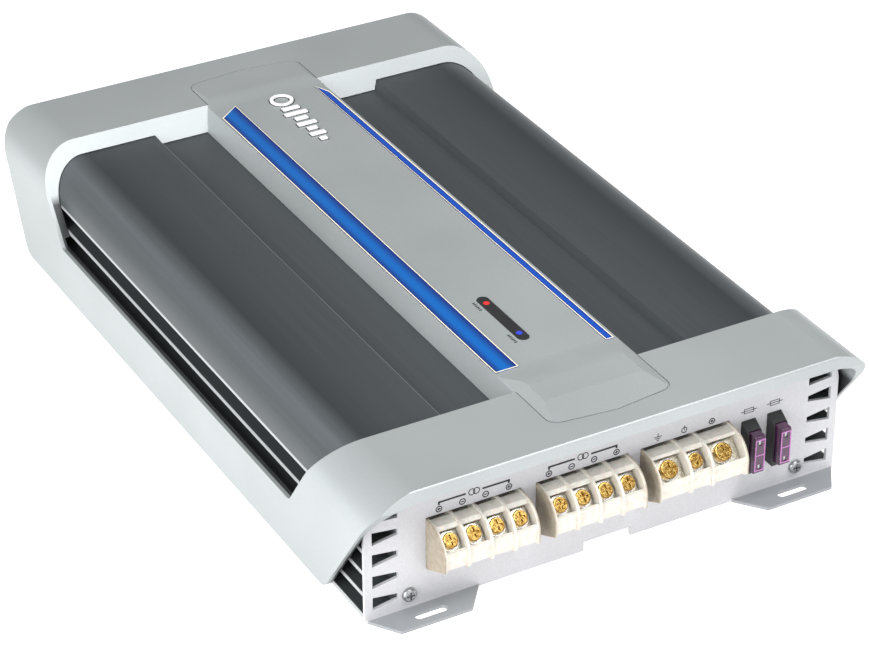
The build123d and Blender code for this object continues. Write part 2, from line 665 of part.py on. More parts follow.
def cell_middles(middle, cells):
    """Middle of each cell, in X."""
    left = middle - total(cells) / 2
    middles = []
    for width, _ in cells:
        middles.append(left + width / 2)
        left += width
    return middles


def terminals():
    """(x, cell width, head radius) of every terminal, left to right."""
    places = []
    for middle, cells in terminal_blocks():
        for x, (width, head) in zip(cell_middles(middle, cells), cells):
            places.append((x, width, head))
    return places


def tilted(x, along_down, outward):
    """A point in a terminal: distance down the slope and outward from the contact's face."""
    return Vector(x, 0, 0) + TERM_SEAT + TERM_DOWN * along_down + TERM_OUT * outward


def tilted_box(x, wide, down0, down1, out0, out1):
    """A box squared to a terminal's slope."""
    middle = tilted(x, (down0 + down1) / 2, (out0 + out1) / 2)
    return Plane(origin=middle, x_dir=(1, 0, 0), z_dir=TERM_OUT) * Box(wide, down1 - down0, out1 - out0)


def divider(x):
    """An arched wall between two cells or at the end of a block."""
    top, low, inside = TERM_HIGH + TERM_PROUD, TERM_LOW - TERM_PROUD, FRONT + TERM_INSIDE
    out = FRONT - TERM_REACH - TERM_PROUD
    x0 = x - TERM_WALL / 2
    edges = [
        Line((x0, inside, top), (x0, FRONT - 3.5, top)),
        ThreePointArc((x0, FRONT - 3.5, top), (x0, FRONT - 12.2, TERM_HIGH - 2.6),
                      (x0, out, TERM_SILL[1] - 1.5)),
        Line((x0, out, TERM_SILL[1] - 1.5), (x0, out, TERM_SILL[0] - 0.6)),
        Line((x0, out, TERM_SILL[0] - 0.6), (x0, FRONT - 1.5, low)),
        Line((x0, FRONT - 1.5, low), (x0, inside, low)),
        Line((x0, inside, low), (x0, inside, top)),
    ]
    return extrude(make_face(edges), amount=TERM_WALL, dir=(1, 0, 0))


def terminal_block(middle, cells):
    """Moulded housing with one open cell for each terminal."""
    left, right = middle - total(cells) / 2, middle + total(cells) / 2
    inside = FRONT + TERM_INSIDE
    profile = [(inside, TERM_HIGH - TERM_STEP), (FRONT, TERM_HIGH - TERM_STEP), (FRONT, TERM_HIGH),
               (FRONT - TERM_TOP_REACH, TERM_HIGH),
               (FRONT - TERM_REACH + 1.1, TERM_SILL[1]), (FRONT - TERM_REACH, TERM_SILL[1]),
               (FRONT - TERM_REACH, TERM_SILL[0]), (FRONT - 1.5, TERM_LOW), (inside, TERM_LOW)]
    body = along_x(profile, left, right)
    for x, width, head in terminals():
        if left < x < right:
            pocket = head + WASHER_EXTRA + GAP
            body -= tilted_box(x, width - TERM_WALL, -pocket, pocket, -CONTACT - SLIP, 12)
            body -= rod(TERM_THREAD + GAP, tilted(x, 0, 0), TERM_OUT * -1, TERM_THREAD_LENGTH + 1)
            body -= leg_slot(x, head)
    wall = left
    body += divider(wall)
    for width, _ in cells:
        wall += width
        body += divider(wall)
    return body


def leg_profile(head, margin):
    """Side view of the strip that carries a contact back over the housing and down."""
    upper = tilted(0, -head - WASHER_EXTRA, -CONTACT / 2)
    z0, z1 = upper.Z - CONTACT - margin, upper.Z + margin
    back = FRONT + CONTACT_LEG_AT + CONTACT
    return upper.Y - 0.6 - margin, back, z0, z1


def leg_slot(x, head):
    """Room in the housing for a contact's strip."""
    y0, back, z0, z1 = leg_profile(head, SLIP)
    return box(x - CONTACT_LEG / 2 - SLIP, x + CONTACT_LEG / 2 + SLIP, y0, back, z0, z1)


def contact(x, width, head):
    """Threaded contact plate under a terminal screw, with its leg down to the board."""
    reach = head + WASHER_EXTRA
    plate = tilted_box(x, width - TERM_WALL - 2 * SLIP, -reach, reach, -CONTACT, 0)
    y0, back, z0, z1 = leg_profile(head, 0)
    strip = box(x - CONTACT_LEG / 2, x + CONTACT_LEG / 2, y0, back, z0, z1)
    leg = box(x - CONTACT_LEG / 2, x + CONTACT_LEG / 2, back - CONTACT, back, BOARD_HIGH, z1)
    hole = rod(TERM_THREAD + TERM_FIT, tilted(x, 0, 2), TERM_OUT * -1, 2 + CONTACT + 1)
    return plate + strip + leg - hole


def clamp_washer(x, head):
    """Round washer that travels with its screw and bites the wire."""
    disc = rod(head + WASHER_EXTRA, tilted(x, 0, SLIP), TERM_OUT, WASHER - SLIP)
    return disc - rod(TERM_THREAD + TERM_FIT, tilted(x, 0, 2), TERM_OUT * -1, 4)


def terminal_screw(x, head):
    """Slotted terminal screw."""
    top = rod(head, tilted(x, 0, WASHER + TERM_FIT), TERM_OUT, TERM_HEAD - TERM_FIT)
    top = fillet(top.edges().sort_by(Axis(tuple(TERM_FACE), tuple(TERM_OUT)))[-1], TERM_HEAD * 0.3)
    thread = rod(TERM_THREAD, tilted(x, 0, WASHER + 1), TERM_OUT * -1, WASHER + 1 + TERM_THREAD_LENGTH - 0.5)
    recess = WASHER + TERM_HEAD - 0.8
    slot = tilted_box(x, head * 1.3, -0.5, 0.5, recess, recess + 2)
    cross = tilted_box(x, 1.0, -head * 0.65, head * 0.65, recess, recess + 2)
    return top + thread - slot - cross


# ---------------------------------------------------------------- fuses
def fuse_body(x):
    """Plastic body of a blade fuse, plugged in on edge."""
    wide, deep, tall = FUSE_BODY
    body = box(x - wide / 2, x + wide / 2, FRONT - FUSE_REACH, FRONT - FUSE_REACH + deep,
               FUSE_HIGH - tall / 2, FUSE_HIGH + tall / 2)
    body = fillet(body.edges().filter_by(Axis.X), 1.2)
    for way in (-1, 1):
        z = FUSE_HIGH + way * FUSE_BLADE_OFFSET
        body -= box(x - 0.8, x + 0.8, FRONT - FUSE_REACH - 1, FRONT - FUSE_REACH + 2.4, z - 1.4, z + 1.4)
    return body


def fuse_blades(x):
    """The two metal blades of a fuse."""
    thick, long, wide = FUSE_BLADE
    start = FRONT - FUSE_REACH + FUSE_BODY[1]
    shapes = []
    for way in (-1, 1):
        z = FUSE_HIGH + way * FUSE_BLADE_OFFSET
        shapes.append(box(x - thick / 2, x + thick / 2, start, start + long, z - wide / 2, z + wide / 2))
    return group(shapes)


def fuse_holder(x):
    """Black holder with a pocket for the fuse body and two clip chambers."""
    wide, deep, tall = FUSE_BODY
    reach, inside = FRONT - HOLDER_REACH, FRONT + HOLDER_INSIDE
    outline = [(inside, HOLDER_HIGH), (FRONT, HOLDER_HIGH), (reach, HOLDER_HIGH - HOLDER_SLOPE),
               (reach, HOLDER_LOW), (inside, HOLDER_LOW)]
    body = along_x(outline, x - HOLDER_WIDTH / 2, x + HOLDER_WIDTH / 2)
    body -= box(x - wide / 2 - GAP, x + wide / 2 + GAP, reach - 1, FRONT - FUSE_REACH + deep + GAP,
                FUSE_HIGH - tall / 2 - GAP, FUSE_HIGH + tall / 2 + GAP)
    for way in (-1, 1):
        z = FUSE_HIGH + way * FUSE_BLADE_OFFSET
        body -= box(x - CLIP[0] / 2 - SLIP, x + CLIP[0] / 2 + SLIP, FRONT, inside + 1,
                    z - CLIP[2] / 2 - SLIP, z + CLIP[2] / 2 + SLIP)
    return body


def fuse_clips(x):
    """Forked contacts that grip a fuse's blades."""
    start = FRONT - FUSE_REACH + FUSE_BODY[1] + 2 * GAP
    thick, long, wide = CLIP
    shapes = []
    for way in (-1, 1):
        z = FUSE_HIGH + way * FUSE_BLADE_OFFSET
        clip = box(x - thick / 2, x + thick / 2, start, start + long + 3, z - wide / 2, z + wide / 2)
        clip -= box(x - FUSE_BLADE[0] / 2 - SLIP, x + FUSE_BLADE[0] / 2 + SLIP, start - 1, start + long,
                    z - wide, z + wide)
        shapes.append(clip)
    return shapes


# ---------------------------------------------------------------- board and power parts
def circuit_board():
    """Main board on the cover's standoffs."""
    board = box(-BOARD_HALF, BOARD_HALF, SINK_FRONT + BOARD_END_GAP, SINK_REAR - BOARD_END_GAP,
                BOARD_LOW, BOARD_HIGH)
    return cut_screws(board, board_screws())


def ring(x, y, radius, hole, tall):
    """A ring standing on the board."""
    core = Cylinder(radius, tall) - Cylinder(hole, tall)
    core = fillet(core.edges(), RING_ROUND * min(tall, radius - hole))
    return Pos(x, y, BOARD_HIGH + tall / 2) * core


def filter_can(x, y):
    """Upright electrolytic capacitor."""
    can = Pos(x, y, BOARD_HIGH + CAN_TALL / 2) * Cylinder(CAN_RADIUS, CAN_TALL)
    can = fillet(can.edges(), 1.2)
    groove = Pos(x, y, BOARD_HIGH + 3.5) * (Cylinder(CAN_RADIUS + 1, 1.4) - Cylinder(CAN_RADIUS - 0.8, 1.4))
    return can - groove


def device_rows():
    """Middle of every power transistor along a side wall, in Y."""
    return [(i - (DEVICE_COUNT - 1) / 2) * DEVICE_PITCH for i in range(DEVICE_COUNT)]


def power_transistor(side, y):
    """Transistor standing against a side wall, with three bent legs."""
    thick, wide, tall = DEVICE
    low, high = DEVICE_LOW, DEVICE_LOW + tall
    x0, x1 = DEVICE_FACE, DEVICE_FACE + thick
    body = box(x0, x1, y - wide / 2, y + wide / 2, low, high)
    half = DEVICE_LEG / 2
    middle = (x0 + x1) / 2
    for offset in (-5.0, 0.0, 5.0):
        y0, y1 = y + offset - half, y + offset + half
        body += box(middle - half, middle + half, y0, y1, low - 2, low)
        body += box(DEVICE_LEG_X - half, middle + half, y0, y1, low - 2, low - 2 + DEVICE_LEG)
        body += box(DEVICE_LEG_X - half, DEVICE_LEG_X + half, y0, y1, BOARD_HIGH, low - 2 + DEVICE_LEG)
    return body if side > 0 else mirror(body, about=Plane.YZ)


def row_half():
    """Half the length of the insulator strips and clamp bars."""
    return DEVICE_COUNT * DEVICE_PITCH / 2


def clamp_bar():
    """Right-hand steel bar that holds the transistors against the wall."""
    bar = box(BAR_FACE, DEVICE_FACE, -row_half(), row_half(), BAR_MID - BAR[1] / 2, BAR_MID + BAR[1] / 2)
    return cut_screws(bar, bar_screws()[4:], BAR_SCREW_LENGTH)


def insulator_strip():
    """Right-hand thermal pad between the transistors and the wall."""
    strip = box(INNER_HALF - PAD_SHEET, INNER_HALF, -row_half(), row_half(), DEVICE_LOW - 1,
                DEVICE_LOW + DEVICE[2] + 2)
    return cut_screws(strip, bar_screws()[4:], BAR_SCREW_LENGTH)


# ---------------------------------------------------------------- input end
def jack_places():
    """(x, z) of the four input sockets."""
    return [(x, z) for x in JACK_X for z in JACK_HIGH]


def input_shell(x, z):
    """Metal sleeve of one input socket: a neck through the panel, a centre hole."""
    start = REAR - PLATE - 2
    sleeve = rod(JACK_NECK, (x, start, z), (0, 1, 0), 2 + PLATE + JACK_REACH / 2)
    sleeve += rod(JACK_RADIUS, (x, REAR + SLIP, z), (0, 1, 0), JACK_REACH - SLIP)
    return sleeve - rod(JACK_HOLE, (x, REAR - PLATE, z), (0, 1, 0), JACK_REACH + PLATE + 1)


def input_block():
    """Moulded carrier behind the panel that holds the four sockets."""
    wide, deep, tall = SOCKET_BLOCK
    x, z = sum(JACK_X) / 2, sum(JACK_HIGH) / 2
    y1 = REAR - PLATE - SLIP
    body = box(x - wide / 2, x + wide / 2, y1 - deep, y1, z - tall / 2, z + tall / 2)
    for jack_x, jack_z in jack_places():
        body -= rod(JACK_NECK + SCREW_FIT, (jack_x, REAR - PLATE - 2, jack_z), (0, 1, 0), 3)
    return body


def control_pot(x):
    """Rotary control behind the panel, with a threaded bush through it."""
    wide, deep, tall = POT_BODY
    y1 = REAR - PLATE - SLIP
    body = box(x - wide / 2, x + wide / 2, y1 - deep, y1, KNOB_HIGH - tall / 2, KNOB_HIGH + tall / 2)
    body += rod(POT_BUSH, (x, y1, KNOB_HIGH), (0, 1, 0), PLATE + SLIP + 1.5)
    return body - rod(KNOB_SHAFT + KNOB_FIT, (x, y1 - deep + 2, KNOB_HIGH), (0, 1, 0), deep + PLATE + 6)


def control_knob(x):
    """Knob and shaft in one, with a pointer groove."""
    start = REAR + 1.5 + GAP
    knob = rod(KNOB_RADIUS, (x, start, KNOB_HIGH), (0, 1, 0), KNOB_LONG)
    knob = fillet(knob.edges().group_by(Axis.Y)[-1], 0.6)
    knob += rod(KNOB_SHAFT, (x, REAR - PLATE - POT_BODY[1] + 3, KNOB_HIGH), (0, 1, 0), POT_BODY[1] + 4)
    groove = box(x - 0.4, x + 0.4, start + KNOB_LONG - 0.8, start + KNOB_LONG + 1, KNOB_HIGH,
                 KNOB_HIGH + KNOB_RADIUS + 1)
    return knob - groove


def switch_body(x):
    """Slide switch behind the panel, with a pocket for its slider."""
    wide, deep, tall = SWITCH_BODY
    y1 = REAR - PLATE - SLIP
    body = box(x - wide / 2, x + wide / 2, y1 - deep, y1, SWITCH_HIGH - tall / 2, SWITCH_HIGH + tall / 2)
    reach = (SWITCH_TRAVEL + SLIDER[0]) / 2 + GAP
    pocket = SLIDER[2] / 2 + GAP
    return body - box(x - reach, x + reach, y1 - 2.5, y1 + 1, SWITCH_HIGH - pocket, SWITCH_HIGH + pocket)


def switch_slider(x):
    """Moving button of a slide switch, at the left end of its travel."""
    left = x - SWITCH_TRAVEL / 2
    wide, long, tall = SLIDER
    y0 = REAR - PLATE - SLIP - 2.1
    return box(left - wide / 2, left + wide / 2, y0, REAR - PLATE + long, SWITCH_HIGH - tall / 2,
               SWITCH_HIGH + tall / 2)


# ---------------------------------------------------------------- all nodes
def nodes():
    """Every node's name and shape."""
    pieces = {
        "heatsink": heatsink(),
        "bottom_cover": bottom_cover(),
        "front_end_plate": front_end_plate(),
        "rear_end_plate": rear_end_plate(),
        "shroud": shroud(),
        "accent_strip_wide": accent_strip(WIDE_STRIP),
        "accent_strip_narrow": accent_strip(NARROW_STRIP),
        "indicator_lens": indicator_lens(),
        "indicator_lamps": group(led_blanks(0)),
        "badge": badge(),
        "case_screws": case_screws(),
        "circuit_board": circuit_board(),
        "toroid_transformers": group(
            ring(x, FRONT + y, TOROID_RADIUS, TOROID_HOLE, TOROID_TALL) for x, y in TOROIDS),
        "filter_capacitors": group(filter_can(x, FRONT + y) for x, y in CANS),
        "output_coils": group(
            ring(x, FRONT + y, COIL_RADIUS, COIL_HOLE, COIL_TALL) for x, y in COILS),
        "power_transistors": group(power_transistor(side, y) for side in (-1, 1) for y in device_rows()),
        "insulator_strips": group([insulator_strip(), mirror(insulator_strip(), about=Plane.YZ)]),
        "clamp_bars": group([clamp_bar(), mirror(clamp_bar(), about=Plane.YZ)]),
        "speaker_block_left": terminal_block(*terminal_blocks()[0]),
        "speaker_block_right": terminal_block(*terminal_blocks()[1]),
        "power_block": terminal_block(*terminal_blocks()[2]),
        "terminal_contacts": group(contact(*place) for place in terminals()),
        "fuse_holders": group(fuse_holder(x) for x in FUSE_X),
        "fuse_clips": group(clip for x in FUSE_X for clip in fuse_clips(x)),
        "input_block": input_block(),
        "input_shells": group(input_shell(x, z) for x, z in jack_places()),
        "control_pots": group(control_pot(x) for x in KNOB_X),
        "switch_bodies": group(switch_body(x) for x in SWITCH_X),
    }
    for number, (x, _, head) in enumerate(terminals(), 1):
        pieces[f"clamp_washer_{number:02d}"] = clamp_washer(x, head)
        pieces[f"terminal_screw_{number:02d}"] = terminal_screw(x, head)
    for number, x in enumerate(FUSE_X, 1):
        pieces[f"fuse_body_{number}"] = fuse_body(x)
        pieces[f"fuse_blades_{number}"] = fuse_blades(x)
    for number, x in enumerate(KNOB_X, 1):
        pieces[f"control_knob_{number}"] = control_knob(x)
    for number, x in enumerate(SWITCH_X, 1):
        pieces[f"switch_slider_{number}"] = switch_slider(x)
    return pieces


for name, shape in nodes().items():
    export_step(shape, f"parts/{name}.step")
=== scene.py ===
"""Looks of a flat four-channel car amplifier, built round its CAD frame.

The scene is in metres. Named sizes and the mesh helpers are in millimetres. A pair of sizes that
colours a face says where the change begins and where it is complete.
"""
import math

import bmesh
import bpy
from mathutils import Matrix, Vector


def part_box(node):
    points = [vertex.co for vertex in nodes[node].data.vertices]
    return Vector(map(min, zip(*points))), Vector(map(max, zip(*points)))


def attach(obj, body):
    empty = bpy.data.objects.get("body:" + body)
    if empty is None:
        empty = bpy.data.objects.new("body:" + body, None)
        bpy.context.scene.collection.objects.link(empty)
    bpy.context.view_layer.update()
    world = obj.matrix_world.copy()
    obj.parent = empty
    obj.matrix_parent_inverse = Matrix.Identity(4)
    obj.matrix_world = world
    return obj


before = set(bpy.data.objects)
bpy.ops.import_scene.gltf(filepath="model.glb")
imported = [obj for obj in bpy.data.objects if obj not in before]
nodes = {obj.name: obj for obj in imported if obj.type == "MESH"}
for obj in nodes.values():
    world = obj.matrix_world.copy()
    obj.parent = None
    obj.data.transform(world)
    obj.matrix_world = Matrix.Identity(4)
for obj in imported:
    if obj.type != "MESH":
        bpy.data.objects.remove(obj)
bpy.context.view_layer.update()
MM = 0.001
PRINT = 0.06                     # thickness of printed ink
PLATE_STAND = 1.6                # an end plate's outer face, beyond the end of the extrusion


# ---------------------------------------------------------------- colours and nodes
def linear(code):
    """An sRGB hex colour as linear RGBA."""
    values = [int(code[i:i + 2], 16) / 255 for i in (1, 3, 5)]
    return [v / 12.92 if v <= 0.04045 else ((v + 0.055) / 1.055) ** 2.4 for v in values] + [1.0]


def add(tree, kind, inputs=(), ramp=(), **settings):
    """Adds a shader node; inputs holds values or sockets to link, ramp holds (place, colour) stops.

    A new ramp has two stops, so the first two given take those over and the rest are added.
    """
    made = tree.nodes.new("ShaderNode" + kind)
    for name, value in settings.items():
        setattr(made, name, value)
    for name, value in dict(inputs).items():
        if isinstance(value, bpy.types.NodeSocket):
            tree.links.new(value, made.inputs[name])
        else:
            made.inputs[name].default_value = linear(value) if isinstance(value, str) else value
    for index, (place, code) in enumerate(ramp):
        stops = made.color_ramp.elements
        stop = stops[index] if index < len(stops) else stops.new(place)
        stop.position = place
        stop.color = linear(code)
    return made


def blank(name):
    """An empty node material with its object coordinates."""
    material = bpy.data.materials.new(name)
    material.use_nodes = True
    tree = material.node_tree
    tree.nodes.clear()
    return material, tree, add(tree, "TexCoord").outputs["Object"]


def surface(tree, colour, sockets):
    """The shader and its output, with a linked colour and constants or links on its other sockets."""
    shader = add(tree, "BsdfPrincipled", {"Base Color": colour, **sockets})
    add(tree, "OutputMaterial", {"Surface": shader.outputs["BSDF"]})


def finish(name, low, high, grain, rough, spread=0.06, stretch=(1, 1, 1), dent=0.0, sockets=()):
    """A surface with colour, roughness and dents that vary in grains of a real size in mm."""
    material, tree, place = blank(name)
    turned = add(tree, "Mapping", {"Vector": place, "Scale": stretch})
    noise = add(tree, "TexNoise", {"Vector": turned.outputs[0], "Scale": 1 / (grain * MM),
                                   "Detail": 4.0})
    tint = add(tree, "ValToRGB", {"Fac": noise.outputs[0]}, ramp=((0.35, low), (0.65, high)))
    gloss = add(tree, "MapRange", {"Value": noise.outputs[0], "To Min": rough - spread,
                                   "To Max": rough + spread})
    relief = add(tree, "Bump", {"Height": noise.outputs[0], "Distance": dent * MM, "Strength": 1.0})
    surface(tree, tint.outputs[0], {"Roughness": gloss.outputs[0], "Normal": relief.outputs[0],
                                    **dict(sockets)})
    return material


# ---------------------------------------------------------------- materials
METAL = {"Metallic": 1.0}
ALONG_Y = (1, 0.012, 1)          # extruded and rolled streaks run along Y

zinc_steel = finish("zinc_plated_steel", "#8F9193", "#B4B6B8", 1.4, 0.34, 0.08, dent=0.003, sockets=METAL)
gold_plate = finish("gold_plated_brass", "#A87F3A", "#DDBB70", 0.9, 0.22, 0.08, dent=0.004, sockets=METAL)
tin_plate = finish("tin_plated_blade", "#A6A7A8", "#C4C5C6", 0.8, 0.3, 0.06, dent=0.002, sockets=METAL)
nickel_washer = finish("bright_nickel_washer", "#CFCDC6", "#F0EEE8", 0.7, 0.24, 0.08, dent=0.003,
                       sockets=METAL)
bright_nickel = finish("bright_nickel_contact", "#A9A598", "#D6D2C6", 0.9, 0.3, 0.08, dent=0.004,
                       sockets=METAL)
# the badge's metal, with a near-white base colour as painted reflection of its polished chrome
badge_painted_reflection = finish("badge_metal_painted_reflection", "#EDEEEE", "#F8F8F8", 2.0, 0.3, 0.04, dent=0.001,
                        sockets={"Metallic": 0.15})
black_nylon = finish("black_glass_filled_nylon", "#1B1C1D", "#2A2B2C", 0.35, 0.5, 0.08, dent=0.012)
ivory_edge = finish("ivory_border_print", "#E9E2C4", "#F4EED8", 0.5, 0.4)
# black print ink, also used for the painted shadow under the emblem
ink_and_painted_shadow = finish("black_screen_ink_and_painted_shadow", "#1A1A1C", "#26262A", 0.25, 0.6, dent=0.01)
smoked_window = finish("smoked_acrylic_window", "#08090B", "#101114", 3.0, 0.1, 0.03,
                       sockets={"Coat Weight": 0.6})
green_board = finish("green_solder_mask", "#0C4A20", "#13602B", 1.2, 0.3, 0.06, dent=0.02)
copper_winding = finish("enamelled_copper_winding", "#6E2C12", "#B4602C", 0.8, 0.3, 0.08, (1, 1, 0.1), 0.2,
                        {"Metallic": 0.8})
shrink_sleeve = finish("blue_shrink_sleeve", "#0D1238", "#172050", 1.5, 0.28, 0.05, dent=0.01)
grey_pad = finish("grey_silicone_pad", "#8F8F8A", "#A3A39E", 0.5, 0.8, 0.05, dent=0.02)
red_ring = finish("red_socket_insulator", "#8E1014", "#B0181C", 0.5, 0.35)
white_ring = finish("white_socket_insulator", "#D4D2CC", "#E6E4DE", 0.5, 0.35)
# painted highlight: pale violet bars along the fuses' edges
painted_fuse_highlight = finish("pale_violet_painted_fuse_highlight", "#A0609C", "#B878B4", 0.6, 0.25, sockets={"Coat Weight": 0.3})


WING_INNER = (123.2, 122.8)      # from here inwards a wing's face is painted dark as shade
WING_LOW = (52, 48)              # and only below this height


def satin_silver_paint():
    """Satin silver paint on cast aluminium: fine flake; the wings' inner faces get painted shade."""
    material, tree, place = blank("satin_silver_paint")
    flake = add(tree, "TexNoise", {"Vector": place, "Scale": 1 / (0.5 * MM), "Detail": 4.0})
    cloud = add(tree, "TexNoise", {"Vector": place, "Scale": 1 / (60 * MM), "Detail": 1.0})
    blend = add(tree, "Math", {0: flake.outputs[0], 1: cloud.outputs[0]}, operation="ADD")
    half = add(tree, "Math", {0: blend.outputs[0], 1: 0.5}, operation="MULTIPLY")
    paint = add(tree, "ValToRGB", {"Fac": half.outputs[0]}, ramp=((0.35, "#A1A6A7"), (0.65, "#ACB1B2")))
    split = add(tree, "SeparateXYZ", {"Vector": place})
    side = add(tree, "Math", {0: split.outputs["X"]}, operation="ABSOLUTE")
    within = add(tree, "MapRange", {"Value": side.outputs[0], "From Min": WING_INNER[0] * MM,
                                    "From Max": WING_INNER[1] * MM})
    low_part = add(tree, "MapRange", {"Value": split.outputs["Z"], "From Min": WING_LOW[0] * MM,
                                      "From Max": WING_LOW[1] * MM})
    wing_inner_shade = add(tree, "Math", {0: within.outputs[0], 1: low_part.outputs[0]}, operation="MULTIPLY")
    # the dark grey on the wings' inner faces is painted shade
    tint = add(tree, "MixRGB", {"Fac": wing_inner_shade.outputs[0], "Color1": paint.outputs[0], "Color2": "#3C3E40"})
    gloss = add(tree, "MapRange", {"Value": flake.outputs[0], "To Min": 0.38, "To Max": 0.5})
    relief = add(tree, "Bump", {"Height": flake.outputs[0], "Distance": 0.004 * MM, "Strength": 1.0})
    surface(tree, tint.outputs[0], {"Roughness": gloss.outputs[0], "Normal": relief.outputs[0],
                                    "Metallic": 0.45, "Coat Weight": 0.1, "Coat Roughness": 0.3})
    return material


FOOT_START = (180.6, 181.2)      # the feet begin this far from the middle in Y


def panel_coat():
    """Light powder coat on the end plates; the folded feet in front of them, of the same sheet, are painted
    darker grey as shade.
    """
    material, tree, place = blank("panel_powder_coat")
    orange_peel = add(tree, "TexNoise", {"Vector": place, "Scale": 1 / (0.6 * MM), "Detail": 4.0})
    paint = add(tree, "ValToRGB", {"Fac": orange_peel.outputs[0]},
                ramp=((0.35, "#B9B9BD"), (0.65, "#C2C2C6")))
    split = add(tree, "SeparateXYZ", {"Vector": place})
    end = add(tree, "Math", {0: split.outputs["Y"]}, operation="ABSOLUTE")
    foot_shade = add(tree, "MapRange", {"Value": end.outputs[0], "From Min": FOOT_START[0] * MM,
                                  "From Max": FOOT_START[1] * MM})
    # the darker grey on the feet is painted shade
    tint = add(tree, "MixRGB", {"Fac": foot_shade.outputs[0], "Color1": paint.outputs[0], "Color2": "#8A8D90"})
    gloss = add(tree, "MapRange", {"Value": orange_peel.outputs[0], "To Min": 0.42, "To Max": 0.54})
    relief = add(tree, "Bump", {"Height": orange_peel.outputs[0], "Distance": 0.006 * MM,
                                "Strength": 1.0})
    surface(tree, tint.outputs[0], {"Roughness": gloss.outputs[0], "Normal": relief.outputs[0],
                                    "Metallic": 0.15})
    return material


DECK = (55, 119)                 # a deck panel runs between these distances from the middle
FIN_TIP = (118.6, 118.8)         # beyond this the fins are lighter
FIN_TOP = (47.9, 47.6)           # and only below the shoulder
STEP = (-62.7, -61.5)            # a painted highlight along the step in the left deck panel


def anodised_extrusion():
    """Dark grey anodised aluminium: drawn streaks along the length, a painted highlight on the rounded
    shoulder and a painted dark band inside it.
    """
    material, tree, place = blank("dark_anodised_extrusion")
    turned = add(tree, "Mapping", {"Vector": place, "Scale": ALONG_Y})
    streak = add(tree, "TexNoise", {"Vector": turned.outputs[0], "Scale": 1 / (1.1 * MM), "Detail": 5.0})
    grit = add(tree, "TexNoise", {"Vector": place, "Scale": 1 / (0.4 * MM), "Detail": 2.0})
    split = add(tree, "SeparateXYZ", {"Vector": place})
    side = add(tree, "Math", {0: split.outputs["X"]}, operation="ABSOLUTE")
    across = add(tree, "MapRange", {"Value": side.outputs[0], "From Min": DECK[0] * MM,
                                    "From Max": DECK[1] * MM})
    # painted light across the deck: a darker band inside the shoulder and a paler shoulder
    shoulder_light_and_shade = add(tree, "ValToRGB", {"Fac": across.outputs[0]}, ramp=(
        (0.0, "#474C4F"), (1.0, "#4E5355"), (0.45, "#404548"), (0.68, "#34393C"), (0.84, "#5E6366")))
    drawn = add(tree, "ValToRGB", {"Fac": streak.outputs[0]}, ramp=((0.3, "#F0F0F0"), (0.7, "#FFFFFF")))
    body = add(tree, "MixRGB", {"Fac": 1.0, "Color1": shoulder_light_and_shade.outputs[0], "Color2": drawn.outputs[0]},
               blend_type="MULTIPLY")
    tip = add(tree, "MapRange", {"Value": side.outputs[0], "From Min": FIN_TIP[0] * MM,
                                 "From Max": FIN_TIP[1] * MM})
    under = add(tree, "MapRange", {"Value": split.outputs["Z"], "From Min": FIN_TOP[0] * MM,
                                   "From Max": FIN_TOP[1] * MM})
    fin_tip_mask = add(tree, "Math", {0: tip.outputs[0], 1: under.outputs[0]}, operation="MULTIPLY")
    # the fin tips below the shoulder are coloured lighter grey
    light_fin_tips = add(tree, "MixRGB", {"Fac": fin_tip_mask.outputs[0], "Color1": body.outputs[0], "Color2": "#A9ACAE"})
    near_step = add(tree, "MapRange", {"Value": split.outputs["X"], "From Min": STEP[0] * MM,
                                       "From Max": STEP[1] * MM})
    # a painted highlight along the edge of the step
    step_highlight = add(tree, "ValToRGB", {"Fac": near_step.outputs[0]}, ramp=(
        (0.0, "#000000"), (1.0, "#000000"), (0.3, "#000000"), (0.5, "#A0A0A0"), (0.7, "#000000")))
    tint = add(tree, "MixRGB", {"Fac": step_highlight.outputs[0], "Color1": light_fin_tips.outputs[0], "Color2": "#B4B7B9"})
    gloss = add(tree, "MapRange", {"Value": streak.outputs[0], "To Min": 0.38, "To Max": 0.48})
    fine = add(tree, "Bump", {"Height": grit.outputs[0], "Distance": 0.006 * MM, "Strength": 1.0})
    relief = add(tree, "Bump", {"Height": streak.outputs[0], "Distance": 0.003 * MM, "Strength": 1.0,
                                "Normal": fine.outputs[0]})
    surface(tree, tint.outputs[0], {"Roughness": gloss.outputs[0], "Normal": relief.outputs[0],
                                    "Metallic": 0.3})
    return material


def blue_inlay(name, node, core, edge):
    """Glossy acrylic inlay: clear blue along the middle, deeper towards both long edges."""
    low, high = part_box(node)
    material, tree, place = blank(name)
    split = add(tree, "SeparateXYZ", {"Vector": place})
    across = add(tree, "MapRange", {"Value": split.outputs["X"], "From Min": low.x, "From Max": high.x})
    tint = add(tree, "ValToRGB", {"Fac": across.outputs[0]}, ramp=(
        (0.0, edge), (1.0, edge), (0.36, core), (0.56, core)))
    ripple = add(tree, "TexNoise", {"Vector": place, "Scale": 1 / (6 * MM), "Detail": 1.0})
    relief = add(tree, "Bump", {"Height": ripple.outputs[0], "Distance": 0.01 * MM, "Strength": 1.0})
    gloss = add(tree, "MapRange", {"Value": ripple.outputs[0], "To Min": 0.22, "To Max": 0.3})
    surface(tree, tint.outputs[0], {"Roughness": gloss.outputs[0], "Normal": relief.outputs[0],
                                    "Specular IOR Level": 0.2})
    return material


TAN_WALL = (1.1, 0.2)            # the tan fades in over this depth from a block's end faces


